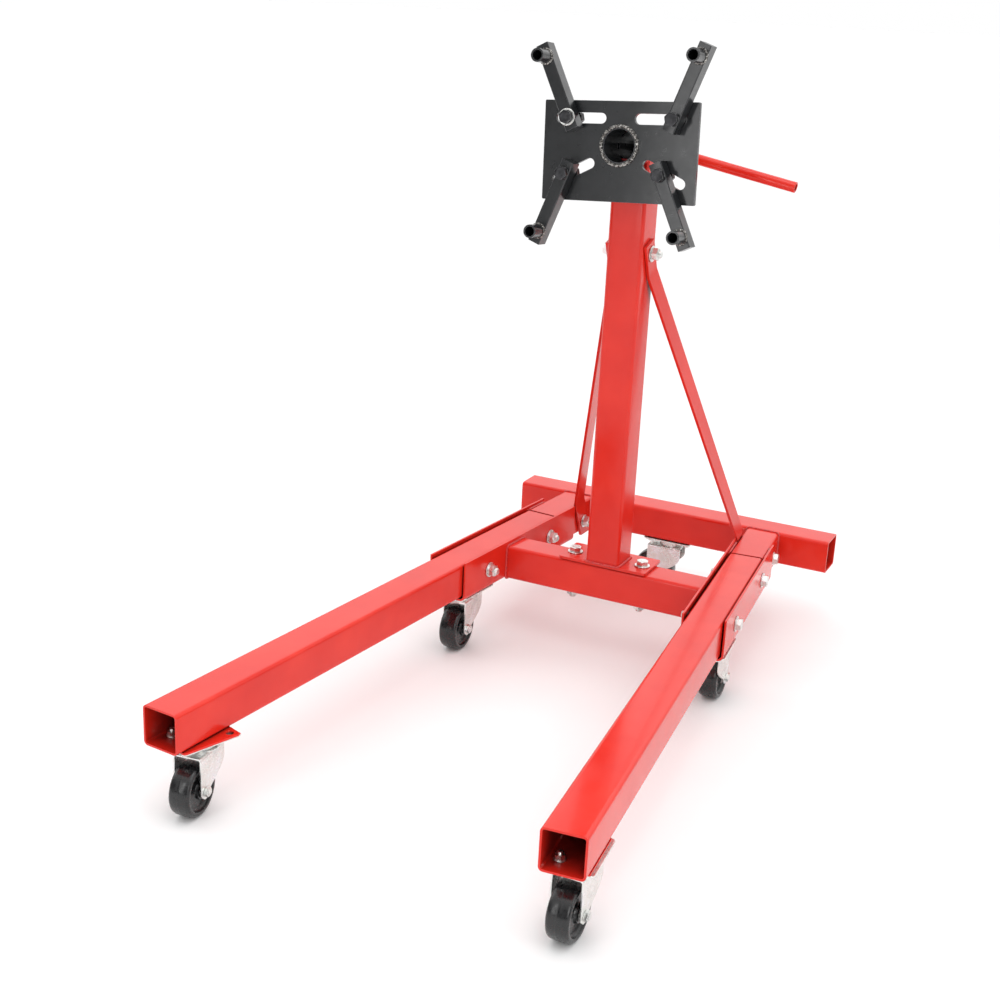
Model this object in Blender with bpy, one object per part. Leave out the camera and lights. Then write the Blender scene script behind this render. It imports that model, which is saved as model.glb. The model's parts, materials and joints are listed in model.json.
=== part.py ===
"""Folding engine stand on five swivel casters, built in metres with +Z up.

The legs point toward -Y, the floor is z = 0 and x = 0 is the stand's middle plane.
All driving dimensions below are in millimetres and are scaled to metres at the end of each piece.
"""
import math

import bmesh
import bpy
from mathutils import Matrix, Vector

MM = 0.001
GAP = 0.3  # air left between pieces that touch or are welded together
OVERSHOOT = 5.0  # how far a cutter goes past what it cuts
WELD_OVERLAP = 1.0  # how far a part of one solid runs into the next
SMOOTH_ANGLE = math.radians(40)
QUARTER_TURN = math.radians(90)

# how finely round shapes are cut
TUBE_FACETS = 32
HOLE_FACETS = 16
WHEEL_FACETS = 24
PIN_FACETS = 16
COPE_FACETS = 48
STANDOFF_FACETS = 20
INDEX_HOLE_FACETS = 12

# square tube shared by the legs, stubs, crossbars and post
TUBE = 60.0
TUBE_WALL = 3.0
TUBE_CORNER = 6.0
CORNER_STEPS = 3
TUBE_BOTTOM_Z = 108.0
TUBE_Z = TUBE_BOTTOM_Z + TUBE / 2
BOLT_HOLE = 6.5

# rear crossbar
REAR_FACE_Y = 540.0
REAR_BAR_HALF = 306.0

# side frames: distances S run forward from the rear crossbar along each splayed side
SPLAY = math.radians(5.5)
SIDE_X = 184.0
STUB_END_S = 142.0
LEG_START_S = 147.5
LEG_END_S = 1139.0
PIVOT_S = 172.5
LOCK_S = 379.0
BRACE_BOLT_S = 41.5
BRACE_BOLT_Z = 132.0
STUB_COPE = 39.6  # radius swept by the leg's rear corner, with clearance
LEG_RELIEF = 30.7  # radius that clears the channel's floor and its rounded bends
LOCK_SLOT_SLANT = 3.4  # how much wider the slot is below, behind the bolt

# folded channels that hold the legs
CHANNEL_START_S = 80.0
CHANNEL_END_S = 456.0
CHANNEL_HALF = 36.0
CHANNEL_WALL = 3.5
CHANNEL_BEND = 10.0
CHANNEL_BOTTOM_Z = 102.0
CHANNEL_TOP_Z = 172.0
LINER_TOP_Z = 166.0  # top of the packing welded between channel and stub

# front crossbar, base plate and post
CROSS_Y = 244.0
CROSS_BOTTOM_Z = 104.0
BASE_PLATE = (158.0, 75.5, 5.0)
BASE_PLATE_CORNER = 3.0
BASE_PLATE_Y = 250.2
BASE_BOLT_X = 62.0
POST_Y = 243.0
POST_TOP_Z = 847.0
SADDLE_REACH = 250.0  # length of the round that cuts the saddle, either way from the head's centre
BRACE_TOP_Z = 698.0

# braces
BRACE_WIDTH = 34.0
BRACE_THICK = 5.0
BRACE_ABOVE_BOLT = 21.0
BRACE_BEND_BELOW_BOLT = 36.0
BRACE_LOWER_BEND_Z = 176.0
BRACE_LOWER_TAB = 36.0
BRACE_CLIP = 13.0  # slant of the lower end
BRACE_TOP_CLIP = 3.0  # slant of the upper end
BRACE_HOLE_REACH = 20.0

# head: the tube's axis leans up toward the front and the plate sits a little turned
HEAD_CENTRE = (0.0, 160.7, 868.8)
HEAD_TILT = math.radians(5.2)
HEAD_ROLL = math.radians(3.2)
PLATE_WIDTH = 250.0
PLATE_HEIGHT = 150.0
PLATE_DROP = 9.0
PLATE_THICK = 7.0
PLATE_CORNER = 2.0
SLOT_WIDTH = 16.0
UPPER_SLOT = ((31.0, 40.0), (98.0, 40.0))
LOWER_SLOT = ((47.0, -27.5), (101.0, -53.5))
HEAD_TUBE_R = 28.5
HEAD_TUBE_BORE = 25.0
HEAD_TUBE_SPAN = (-1.0, 196.0)
SLEEVE_R = 32.0
SLEEVE_BORE = 28.9
SLEEVE_SPAN = (20.0, 130.0)
INDEX_DEPTH = 60.0
INDEX_HOLES = 4  # cut straight through, so twice as many openings round the tube
PIN_R = 5.0
PIN_BOSS_R = 9.5
PIN_BOSS_END = 46.0
PIN_CLEAR = 1.0  # from the drawn-back pin's tip to the turning tube
PIN_TRAVEL_ROOM = 16.0
PIN_KNOB_R = 10.0
PIN_KNOB_LENGTH = 16.0
HANDLE_DEPTH = 172.0
HANDLE_R = 8.5
HANDLE_BORE = 6.0
HANDLE_DROOP = math.radians(9.8)
HANDLE_REACH = 237.0
HANDLE_TAIL = 75.0

# mounting arms: bolt position and direction of each on the plate
ARM_WIDTH = 20.0
ARM_DEPTH = 26.0
ARM_CORNER = 1.0
ARM_TAIL = 19.5
ARM_REACH = 116.0
STANDOFF_AT = 96.5
STANDOFF_R = 10.4
STANDOFF_BORE = 7.6
STANDOFF_LENGTH = 32.0
ARMS = {
    "arm_upper_left": (-76.4, 40.0, 114.2),
    "arm_upper_right": (92.7, 40.0, 68.0),
    "arm_lower_right": (75.8, -41.4, -66.3),
    "arm_lower_left": (-79.9, -43.3, -112.8),
}

# fasteners
SHANK_R = 6.0
HEX_R = 10.6
HEX_HEIGHT = 8.0
NUT_HEIGHT = 10.0
WASHER_R = 13.0
SMALL_WASHER_R = 12.0
WASHER_THICK = 2.0
THREAD_TIP = 5.0
BOLT_POINTS = 12

# casters
FRONT_TOP_Z = 104.4  # under the legs' plates
MIDDLE_TOP_Z = 101.7  # under the channels
REAR_TOP_Z = 107.7  # under the rear crossbar
CASTER_PLATE = (92.0, 62.0, 2.6)
AXLE_Z = 39.0
WHEEL_R = 39.0
WHEEL_HALF = 16.0
TRAIL = 28.0
FORK_HALF = 21.5
FORK_WALL = 2.5
FORK_TOP_Z = 92.5
FORK_DECK = 4.0
RACE_R = 24.0
RACE_BEVEL = 3.0
KINGPIN_R = 5.0
KINGPIN_HEAD = 4.0  # height of the kingpin's head, and how far it stands out round the pin
AXLE_R = 5.0
AXLE_HEX_R = 7.5
AXLE_HEX_HEIGHT = 5.0
AXLE_TIP = 1.5
CASTER_CORNER = 6.0
CHEEK_REAR = -24.0  # fork cheeks, fore and aft of the swivel at the top, and round the axle below
CHEEK_FRONT = 40.0
CHEEK_END_R = 12.0
CHEEK_NECK_Z = 68.0
HUB_R = 12.0
WEB_HALF = 9.5
RIM_R = 30.0
RIM_HALF = 15.5
LEG_CASTER_S = 1073.0
MID_CASTER_S = 398.0
LEG_PLATE_S = 1076.0
LEG_PLATE = (64.0, 92.0)
LEG_PLATE_BOTTOM_Z = 104.7
LEG_PLATE_CORNER = 5.0
SPARE_HOLE_INSET = 11.0
SPARE_HOLE_R = 5.5
LEG_PLATE_TURN = math.radians(-13.0)  # the left plate is welded on askew
LEG_PLATE_SHIFT = 11.0  # toward the stand's middle
# how far each caster sits toward +X of its side's centre line
FRONT_SHIFT = {"left": 11.0, "right": 3.5}
MIDDLE_SHIFT = {"left": 0.0, "right": 5.0}
# the way each fork trails, turned from +X
FRONT_TRAIL = {"left": math.radians(-82.5), "right": math.radians(-90.0)}
MIDDLE_TRAIL = {"left": math.radians(-89.0), "right": math.radians(92.0)}
REAR_TRAIL = math.radians(184.0)

# finishes: base colour, metallic, roughness
FINISHES = {
    "red_paint": ((0.70, 0.025, 0.018, 1.0), 0.0, 0.28),
    "black_paint": ((0.030, 0.032, 0.036, 1.0), 0.1, 0.42),
    "zinc": ((0.74, 0.74, 0.72, 1.0), 1.0, 0.34),
    "black_oxide": ((0.060, 0.060, 0.062, 1.0), 0.8, 0.45),
    "black_plastic": ((0.012, 0.012, 0.013, 1.0), 0.0, 0.30),
}


# ---------------------------------------------------------------- outlines


def rounded_rectangle(width, height, radius, steps=CORNER_STEPS):
    """Points round a rectangle with rounded corners, centred on the origin."""
    points = []
    for quarter, (sign_a, sign_b) in enumerate(((1, 1), (-1, 1), (-1, -1), (1, -1))):
        for step in range(steps + 1):
            angle = QUARTER_TURN * (quarter + step / steps)
            a = sign_a * (width / 2 - radius) + radius * math.cos(angle)
            b = sign_b * (height / 2 - radius) + radius * math.sin(angle)
            points.append((a, b))
    return points


def circle(radius, count, centre=(0.0, 0.0)):
    """Points round a circle."""
    points = []
    for index in range(count):
        angle = 2 * math.pi * index / count
        points.append((centre[0] + radius * math.cos(angle), centre[1] + radius * math.sin(angle)))
    return points


def arc(radius, start, end, steps, centre=(0.0, 0.0)):
    """Points along an arc, with the angles in degrees."""
    points = []
    for step in range(steps + 1):
        angle = math.radians(start + (end - start) * step / steps)
        points.append((centre[0] + radius * math.cos(angle), centre[1] + radius * math.sin(angle)))
    return points


def ring_outline(radius, sides, count):
    """A circle, or a regular polygon with its edges divided, of exactly count points."""
    points = []
    for index in range(count):
        angle = 2 * math.pi * index / count
        reach = radius
        if sides:
            sector = 2 * math.pi / sides
            within = (angle % sector) - sector / 2
            reach = radius * math.cos(sector / 2) / math.cos(within)
        points.append((reach * math.cos(angle), reach * math.sin(angle)))
    return points


def slot_outline(start, end, width):
    """A straight slot with round ends between two centres."""
    heading = math.degrees(math.atan2(end[1] - start[1], end[0] - start[0]))
    first = arc(width / 2, heading + 90, heading + 270, 8, start)
    second = arc(width / 2, heading - 90, heading + 90, 8, end)
    return first + second


# ---------------------------------------------------------------- solids


def point_on(axis, a, b, along):
    """A section point (a, b) placed at a distance along the X, Y or Z axis."""
    if axis == "X":
        return Vector((along, a, b))
    if axis == "Y":
        return Vector((a, along, b))
    return Vector((a, b, along))


def bridge(bm, first, second):
    """Quads between two loops of equal length."""
    count = len(first)
    for index in range(count):
        after = (index + 1) % count
        bm.faces.new((first[index], first[after], second[after], second[index]))


def prism(outline, axis, low, high):
    """A solid with one outline from low to high along an axis."""
    bm = bmesh.new()
    bottom = [bm.verts.new(point_on(axis, a, b, low)) for a, b in outline]
    top = [bm.verts.new(point_on(axis, a, b, high)) for a, b in outline]
    bridge(bm, bottom, top)
    bm.faces.new(bottom)
    bm.faces.new(top)
    return bm


def square_tube(axis, low_end, high_end):
    """An open square tube whose ends lie where low_end(a, b) and high_end(a, b) say."""
    outer = rounded_rectangle(TUBE, TUBE, TUBE_CORNER)
    bore = TUBE - 2 * TUBE_WALL
    inner = rounded_rectangle(bore, bore, TUBE_CORNER - TUBE_WALL)
    bm = bmesh.new()
    loops = []
    for outline, end in ((outer, low_end), (outer, high_end), (inner, high_end), (inner, low_end)):
        loops.append([bm.verts.new(point_on(axis, a, b, end(a, b))) for a, b in outline])
    for index, loop in enumerate(loops):
        bridge(bm, loop, loops[(index + 1) % len(loops)])
    return bm


def revolve(profile, count, axis):
    """A closed profile of (radius, along) points turned about an axis."""
    bm = bmesh.new()
    loops = []
    for radius, along in profile:
        loops.append([bm.verts.new(point_on(axis, a, b, along)) for a, b in circle(radius, count)])
    for index, loop in enumerate(loops):
        bridge(bm, loop, loops[(index + 1) % len(loops)])
    return bm


def stack(sections, axis, count=BOLT_POINTS):
    """A solid of coaxial steps. Each section is (along, radius, sides), with 0 sides for round."""
    bm = bmesh.new()
    loops = []
    for along, radius, sides in sections:
        outline = ring_outline(radius, sides, count)
        loops.append([bm.verts.new(point_on(axis, a, b, along)) for a, b in outline])
    for lower, upper in zip(loops, loops[1:]):
        bridge(bm, lower, upper)
    bm.faces.new(loops[0])
    bm.faces.new(loops[-1])
    return bm


def box(size, centre):
    """A plain block."""
    a = size[0] / 2
    b = size[1] / 2
    bm = prism([(a, b), (-a, b), (-a, -b), (a, -b)], "Z", -size[2] / 2, size[2] / 2)
    bm.transform(Matrix.Translation(Vector(centre)))
    return bm


def solid(name, bm):
    """An object at the origin made from a bmesh whose faces are turned outward."""
    bmesh.ops.recalc_face_normals(bm, faces=bm.faces)
    if bm.calc_volume(signed=True) < 0:
        bmesh.ops.reverse_faces(bm, faces=bm.faces)
    mesh = bpy.data.meshes.new(name)
    bm.to_mesh(mesh)
    bm.free()
    made = bpy.data.objects.new(name, mesh)
    bpy.context.scene.collection.objects.link(made)
    return made


def combine(target, bm, operation):
    """Join a second shape to a solid or cut it away."""
    tool = solid("tool", bm)
    tool.hide_render = True
    tool.display_type = "WIRE"
    modifier = target.modifiers.new("combine", "BOOLEAN")
    modifier.operation = operation
    modifier.solver = "EXACT"
    modifier.object = tool
    bpy.context.view_layer.update()
    graph = bpy.context.evaluated_depsgraph_get()
    result = bpy.data.meshes.new_from_object(target.evaluated_get(graph))
    before = target.data
    target.modifiers.clear()
    target.data = result
    bpy.data.meshes.remove(before)
    bpy.data.objects.remove(tool, do_unlink=True)


def carve(target, bm):
    combine(target, bm, "DIFFERENCE")


def fuse(target, bm):
    combine(target, bm, "UNION")


def carve_hole(target, axis, centre, radius, low, high, count=HOLE_FACETS):
    """A round hole along an axis, where centre gives the two other coordinates."""
    carve(target, prism(circle(radius, count, centre), axis, low, high))


def finish(made, coating, parent, location=(0.0, 0.0, 0.0), rotation=(0.0, 0.0, 0.0)):
    """Scale a piece to metres, give it its material and shading, and put it in its place."""
    made.data.transform(Matrix.Scale(MM, 4))
    for polygon in made.data.polygons:
        polygon.use_smooth = True
    made.data.set_sharp_from_angle(angle=SMOOTH_ANGLE)
    colour, metallic, roughness = FINISHES[coating]
    material = bpy.data.materials.new(made.name + "_" + coating)
    material.use_nodes = True
    shader = material.node_tree.nodes["Principled BSDF"]
    shader.inputs["Base Color"].default_value = colour
    shader.inputs["Metallic"].default_value = metallic
    shader.inputs["Roughness"].default_value = roughness
    made.data.materials.clear()
    made.data.materials.append(material)
    made.parent = parent
    made.location = Vector(location) * MM
    made.rotation_euler = rotation
    return made


def frame_empty(name, parent, location, rotation=(0.0, 0.0, 0.0)):
    """An empty that carries pieces built in its own frame."""
    empty = bpy.data.objects.new(name, None)
    bpy.context.scene.collection.objects.link(empty)
    empty.parent = parent
    empty.location = Vector(location) * MM
    empty.rotation_euler = rotation
    return empty


def bolt(name, grip, coating, parent, location, rotation, washer=WASHER_R, points=BOLT_POINTS):
    """A through bolt with two washers and a nut. Its head bears at z = 0 and its nut at z = -grip."""
    nut_top = -grip - WASHER_THICK
    nut_bottom = nut_top - NUT_HEIGHT
    sections = [
        (nut_bottom - THREAD_TIP, SHANK_R, 0),
        (nut_bottom, SHANK_R, 0),
        (nut_bottom, HEX_R, 6),
        (nut_top, HEX_R, 6),
        (nut_top, washer, 0),
        (-grip, washer, 0),
        (-grip, SHANK_R, 0),
        (0.0, SHANK_R, 0),
        (0.0, washer, 0),
        (WASHER_THICK, washer, 0),
        (WASHER_THICK, HEX_R, 6),
        (WASHER_THICK + HEX_HEIGHT, HEX_R, 6),
    ]
    made = solid(name, stack(sections, "Z", points))
    return finish(made, coating, parent, location, rotation)


# ---------------------------------------------------------------- frame pieces


def side_mitre(sign, a):
    """Where a side tube meets the rear crossbar's front face, at a sideways offset a."""
    turn = sign * SPLAY
    return (-GAP - a * math.sin(turn)) / math.cos(turn)


def inner_flange_x(y, outward):
    """World x on the inner side of a side frame, at world y, for a plane at that outward offset."""
    reach = REAR_FACE_Y + outward * math.sin(SPLAY) - y
    return SIDE_X + math.tan(SPLAY) * reach + outward * math.cos(SPLAY)


def build_rear_crossbar(root):
    bar = solid("rear_crossbar", square_tube("X", lambda a, b: -REAR_BAR_HALF, lambda a, b: REAR_BAR_HALF))
    finish(bar, "red_paint", root, (0.0, REAR_FACE_Y + TUBE / 2, TUBE_Z))


def build_stub(word, sign, frame):
    stub = solid(
        "stub_" + word,
        square_tube("Y", lambda a, b: -STUB_END_S, lambda a, b: side_mitre(sign, a)),
    )
    carve_hole(stub, "X", (-BRACE_BOLT_S, BRACE_BOLT_Z - TUBE_Z), BOLT_HOLE, -TUBE, TUBE)
    carve_hole(stub, "X", (-PIVOT_S, 0.0), STUB_COPE, -TUBE, TUBE, COPE_FACETS)
    finish(stub, "red_paint", frame, (0.0, 0.0, TUBE_Z))


def channel_outline(wall):
    """A U open at the top, with round outer bends, drawn in (sideways, height) from its floor."""
    height = CHANNEL_TOP_Z - CHANNEL_BOTTOM_Z
    centre = CHANNEL_HALF - CHANNEL_BEND
    inner_bend = max(CHANNEL_BEND - wall, 1.0)
    inner_centre = CHANNEL_HALF - wall - inner_bend
    points = [(CHANNEL_HALF, height)]
    points.append((CHANNEL_HALF - wall, height))
    points += arc(inner_bend, 0, -90, 3, (inner_centre, wall + inner_bend))
    points += arc(inner_bend, -90, -180, 3, (-inner_centre, wall + inner_bend))
    points.append((-CHANNEL_HALF + wall, height))
    points.append((-CHANNEL_HALF, height))
    points += arc(CHANNEL_BEND, 180, 270, 4, (-centre, CHANNEL_BEND))
    points += arc(CHANNEL_BEND, 270, 360, 4, (centre, CHANNEL_BEND))
    return points


def channel_cavity():
    """The space between the channel's walls, open at the top."""
    above = CHANNEL_TOP_Z - CHANNEL_BOTTOM_Z + OVERSHOOT
    half = CHANNEL_HALF - CHANNEL_WALL
    bend = CHANNEL_BEND - CHANNEL_WALL
    centre = half - bend
    points = [(half, above), (-half, above)]
    points += arc(bend, 180, 270, 3, (-centre, CHANNEL_WALL + bend))
    points += arc(bend, 270, 360, 3, (centre, CHANNEL_WALL + bend))
    return points


def build_channel(word, frame):
    """The channel is packed out to the stub where the two are welded together."""
    packed_wall = CHANNEL_HALF - TUBE / 2 - GAP
    section = channel_outline(packed_wall)
    channel = solid("channel_" + word, prism(section, "Y", -CHANNEL_END_S, -CHANNEL_START_S))
    carve(channel, prism(channel_cavity(), "Y", -CHANNEL_END_S - OVERSHOOT, -STUB_END_S))
    lip_low = LINER_TOP_Z - CHANNEL_BOTTOM_Z
    lip_high = CHANNEL_TOP_Z - CHANNEL_BOTTOM_Z + OVERSHOOT
    half = CHANNEL_HALF - CHANNEL_WALL
    lip = [(half, lip_high), (-half, lip_high), (-half, lip_low), (half, lip_low)]
    carve(channel, prism(lip, "Y", -STUB_END_S - OVERSHOOT, -CHANNEL_START_S + OVERSHOOT))
    for bolt_s in (PIVOT_S, LOCK_S):
        carve_hole(channel, "X", (-bolt_s, TUBE_Z - CHANNEL_BOTTOM_Z), BOLT_HOLE, -TUBE, TUBE)
    finish(channel, "red_paint", frame, (0.0, 0.0, CHANNEL_BOTTOM_Z))


def build_front_crossbar(root):
    def end(a):
        return inner_flange_x(CROSS_Y + a, -CHANNEL_HALF - GAP)

    bar = solid("front_crossbar", square_tube("X", lambda a, b: -end(a), lambda a, b: end(a)))
    for x in (-BASE_BOLT_X, BASE_BOLT_X):
        carve_hole(bar, "Z", (x, 0.0), BOLT_HOLE, -TUBE, TUBE)
    finish(bar, "red_paint", root, (0.0, CROSS_Y, CROSS_BOTTOM_Z + TUBE / 2))


def build_base_plate(root):
    width, depth, thick = BASE_PLATE
    bottom = CROSS_BOTTOM_Z + TUBE + GAP
    plate = solid("base_plate", prism(rounded_rectangle(width, depth, BASE_PLATE_CORNER), "Z", 0.0, thick))
    for x in (-BASE_BOLT_X, BASE_BOLT_X):
        carve_hole(plate, "Z", (x, CROSS_Y - BASE_PLATE_Y), BOLT_HOLE, -thick, 2 * thick)
    finish(plate, "red_paint", root, (0.0, BASE_PLATE_Y, bottom))


def build_post(root):
    """The post's top is cut to the sleeve's round so that the sleeve sits in a saddle."""
    foot = CROSS_BOTTOM_Z + TUBE + GAP + BASE_PLATE[2] + GAP
    post = solid("post", square_tube("Z", lambda a, b: foot, lambda a, b: POST_TOP_Z))
    saddle = prism(circle(SLEEVE_R + GAP, TUBE_FACETS), "Y", -SADDLE_REACH, SADDLE_REACH)
    saddle.transform(Matrix.Rotation(-HEAD_TILT, 4, "X"))
    saddle.transform(Matrix.Translation(Vector(HEAD_CENTRE) - Vector((0.0, POST_Y, 0.0))))
    carve(post, saddle)
    carve_hole(post, "X", (0.0, BRACE_TOP_Z), BOLT_HOLE, -TUBE, TUBE)
    finish(post, "red_paint", root, (0.0, POST_Y, 0.0))


def brace_bolt_point():
    """World y of the brace's lower bolt on the stub's inner side."""
    outward = -TUBE / 2 - GAP - BRACE_THICK / 2
    return REAR_FACE_Y - BRACE_BOLT_S * math.cos(SPLAY) + outward * math.sin(SPLAY)


def build_brace(word, sign, root):
    """A flat bar that is straight seen from the side, with a bend near each end."""
    low_y = brace_bolt_point()
    run = Vector((0.0, low_y - POST_Y, BRACE_BOLT_Z - BRACE_TOP_Z))
    heading = run.normalized()
    across = Vector((0.0, -heading.z, heading.y))
    top = Vector((0.0, POST_Y, BRACE_TOP_Z))
    lower_bend = (BRACE_TOP_Z - BRACE_LOWER_BEND_Z) / -heading.z
    near = -TUBE / 2 - GAP

    # thickness is measured outward from the bar's face on the post's side
    def tab_x(y, thickness):
        return inner_flange_x(y, near - BRACE_THICK + thickness)

    def post_x(y, thickness):
        return TUBE / 2 + GAP + thickness

    end = run.length + BRACE_LOWER_TAB
    stations = [
        (-BRACE_ABOVE_BOLT, -BRACE_ABOVE_BOLT + BRACE_TOP_CLIP, post_x),
        (BRACE_BEND_BELOW_BOLT, BRACE_BEND_BELOW_BOLT, post_x),
        (lower_bend, lower_bend, tab_x),
        (end - BRACE_CLIP, end, tab_x),
    ]
    bm = bmesh.new()
    loops = []
    for front_at, back_at, x_of in stations:
        front = top + heading * front_at - across * (BRACE_WIDTH / 2)
        back = top + heading * back_at + across * (BRACE_WIDTH / 2)
        corners = []
        for edge, thickness in ((front, 0.0), (back, 0.0), (back, BRACE_THICK), (front, BRACE_THICK)):
            corners.append(bm.verts.new((sign * x_of(edge.y, thickness), edge.y, edge.z)))
        loops.append(corners)
    for upper, lower in zip(loops, loops[1:]):
        bridge(bm, upper, lower)
    bm.faces.new(loops[0])
    bm.faces.new(loops[-1])
    bmesh.ops.triangulate(bm, faces=[face for face in bm.faces if len(face.verts) == 4])
    brace = solid("brace_" + word, bm)
    carve_hole(brace, "X", (POST_Y, BRACE_TOP_Z), BOLT_HOLE, -TUBE, TUBE)
    reach = sign * inner_flange_x(low_y, near)
    low_end = reach - BRACE_HOLE_REACH
    high_end = reach + BRACE_HOLE_REACH
    carve_hole(brace, "X", (low_y, BRACE_BOLT_Z), BOLT_HOLE, low_end, high_end)
    finish(brace, "red_paint", root)


def build_leg(word, frame):
    """The leg turns about the rear bolt. A slot open below lets it lift off the front bolt."""
    leg = solid(
        "leg_" + word,
        square_tube("Y", lambda a, b: PIVOT_S - LEG_END_S, lambda a, b: PIVOT_S - LEG_START_S),
    )
    carve_hole(leg, "X", (0.0, 0.0), BOLT_HOLE, -TUBE, TUBE)
    beyond = TUBE
    relief = arc(LEG_RELIEF, 0, -90, 10) + [(0.0, -beyond), (beyond, -beyond), (beyond, 0.0)]
    carve(leg, prism(relief, "X", -TUBE, TUBE))
    lock_y = PIVOT_S - LOCK_S
    below = -TUBE / 2 - OVERSHOOT
    slot = arc(BOLT_HOLE, 0, 180, 10, (lock_y, 0.0))
    slot += [(lock_y - BOLT_HOLE, below), (lock_y + BOLT_HOLE + LOCK_SLOT_SLANT, below)]
    carve(leg, prism(slot, "X", -TUBE, TUBE))
    finish(leg, "red_paint", frame, (0.0, -PIVOT_S, TUBE_Z))


def build_leg_plate(word, sign, frame):
    """The plate under a leg's front end that carries its caster."""
    thick = TUBE_BOTTOM_Z - GAP - LEG_PLATE_BOTTOM_Z
    outline = rounded_rectangle(*LEG_PLATE, LEG_PLATE_CORNER)
    plate = solid("caster_plate_" + word, prism(outline, "Z", 0.0, thick))
    turn = 0.0
    offset = TUBE / 2 - LEG_PLATE[0] / 2
    if word == "left":
        turn = LEG_PLATE_TURN
        corner = (LEG_PLATE[0] / 2 - SPARE_HOLE_INSET, LEG_PLATE[1] / 2 - SPARE_HOLE_INSET)
        carve_hole(plate, "Z", corner, SPARE_HOLE_R, -thick, 2 * thick)
        offset = -LEG_PLATE_SHIFT
    location = (sign * offset, -LEG_PLATE_S, LEG_PLATE_BOTTOM_Z)
    finish(plate, "red_paint", frame, location, (0.0, 0.0, turn))


# ---------------------------------------------------------------- head pieces


def build_sleeve(frame):
    """The fixed sleeve on the post, with a boss on its left side for the lock pin."""
    low, high = SLEEVE_SPAN
    profile = [(SLEEVE_BORE, low), (SLEEVE_R, low), (SLEEVE_R, high), (SLEEVE_BORE, high)]
    sleeve = solid("head_sleeve", revolve(profile, TUBE_FACETS, "Y"))
    boss = circle(PIN_BOSS_R, PIN_FACETS, (INDEX_DEPTH, 0.0))
    fuse(sleeve, prism(boss, "X", -PIN_BOSS_END, -SLEEVE_BORE - WELD_OVERLAP))
    carve_hole(sleeve, "X", (INDEX_DEPTH, 0.0), PIN_R + GAP, -PIN_BOSS_END - OVERSHOOT, -HEAD_TUBE_BORE)
    finish(sleeve, "red_paint", frame)


def build_lock_pin(frame):
    """Drawn back at rest, so that its tip is just clear of the turning tube."""
    tip = HEAD_TUBE_R + PIN_CLEAR
    chamfer = 2.0
    neck = -PIN_BOSS_END - PIN_TRAVEL_ROOM
    knob_front = neck - 2 * chamfer
    knob_end = knob_front - PIN_KNOB_LENGTH
    sections = [
        (knob_end, PIN_KNOB_R - chamfer, 0),
        (knob_end + chamfer, PIN_KNOB_R, 0),
        (knob_front, PIN_KNOB_R, 0),
        (neck, PIN_R, 0),
        (-tip - chamfer, PIN_R, 0),
        (-tip, PIN_R - chamfer, 0),
    ]
    pin = solid("lock_pin", stack(sections, "X", PIN_FACETS))
    finish(pin, "zinc", frame, (0.0, INDEX_DEPTH, 0.0))


def build_head_tube(turning):
    """The turning tube, with index holes for the lock pin and a cross hole for the handle."""
    low, high = HEAD_TUBE_SPAN
    profile = [(HEAD_TUBE_BORE, low), (HEAD_TUBE_R, low), (HEAD_TUBE_R, high), (HEAD_TUBE_BORE, high)]
    tube = solid("head_tube", revolve(profile, TUBE_FACETS, "Y"))
    through = HEAD_TUBE_R + OVERSHOOT
    for index in range(INDEX_HOLES):
        hole = prism(circle(PIN_R + GAP, INDEX_HOLE_FACETS), "X", -through, through)
        hole.transform(Matrix.Rotation(math.pi * index / INDEX_HOLES, 4, "Y"))
        hole.transform(Matrix.Translation((0.0, INDEX_DEPTH, 0.0)))
        carve(tube, hole)
    cross = prism(circle(HANDLE_R + 2 * GAP, HOLE_FACETS), "X", -through, through)
    cross.transform(Matrix.Rotation(HANDLE_DROOP + HEAD_ROLL, 4, "Y"))
    cross.transform(Matrix.Translation((0.0, HANDLE_DEPTH, 0.0)))
    carve(tube, cross)
    finish(tube, "black_paint", turning)


def build_handle(tilted):
    profile = [
        (HANDLE_BORE, -HANDLE_TAIL),
        (HANDLE_R, -HANDLE_TAIL),
        (HANDLE_R, HANDLE_REACH),
        (HANDLE_BORE, HANDLE_REACH),
    ]
    handle = solid("handle", revolve(profile, HOLE_FACETS, "X"))
    finish(handle, "red_paint", tilted, (0.0, HANDLE_DEPTH, 0.0), (0.0, HANDLE_DROOP, 0.0))


def build_head_plate(turning):
    outline = rounded_rectangle(PLATE_WIDTH, PLATE_HEIGHT, PLATE_CORNER)
    plate = solid("head_plate", prism(outline, "Y", 0.0, PLATE_THICK))
    behind = PLATE_THICK + OVERSHOOT
    carve(plate, prism(circle(HEAD_TUBE_R + GAP, TUBE_FACETS, (0.0, PLATE_DROP)), "Y", -OVERSHOOT, behind))
    for start, end in (UPPER_SLOT, LOWER_SLOT):
        for mirror in (-1, 1):
            ends = [(mirror * u, w + PLATE_DROP) for u, w in (start, end)]
            carve(plate, prism(slot_outline(*ends, SLOT_WIDTH), "Y", -OVERSHOOT, behind))
    finish(plate, "black_paint", turning, (0.0, 0.0, -PLATE_DROP))


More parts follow.
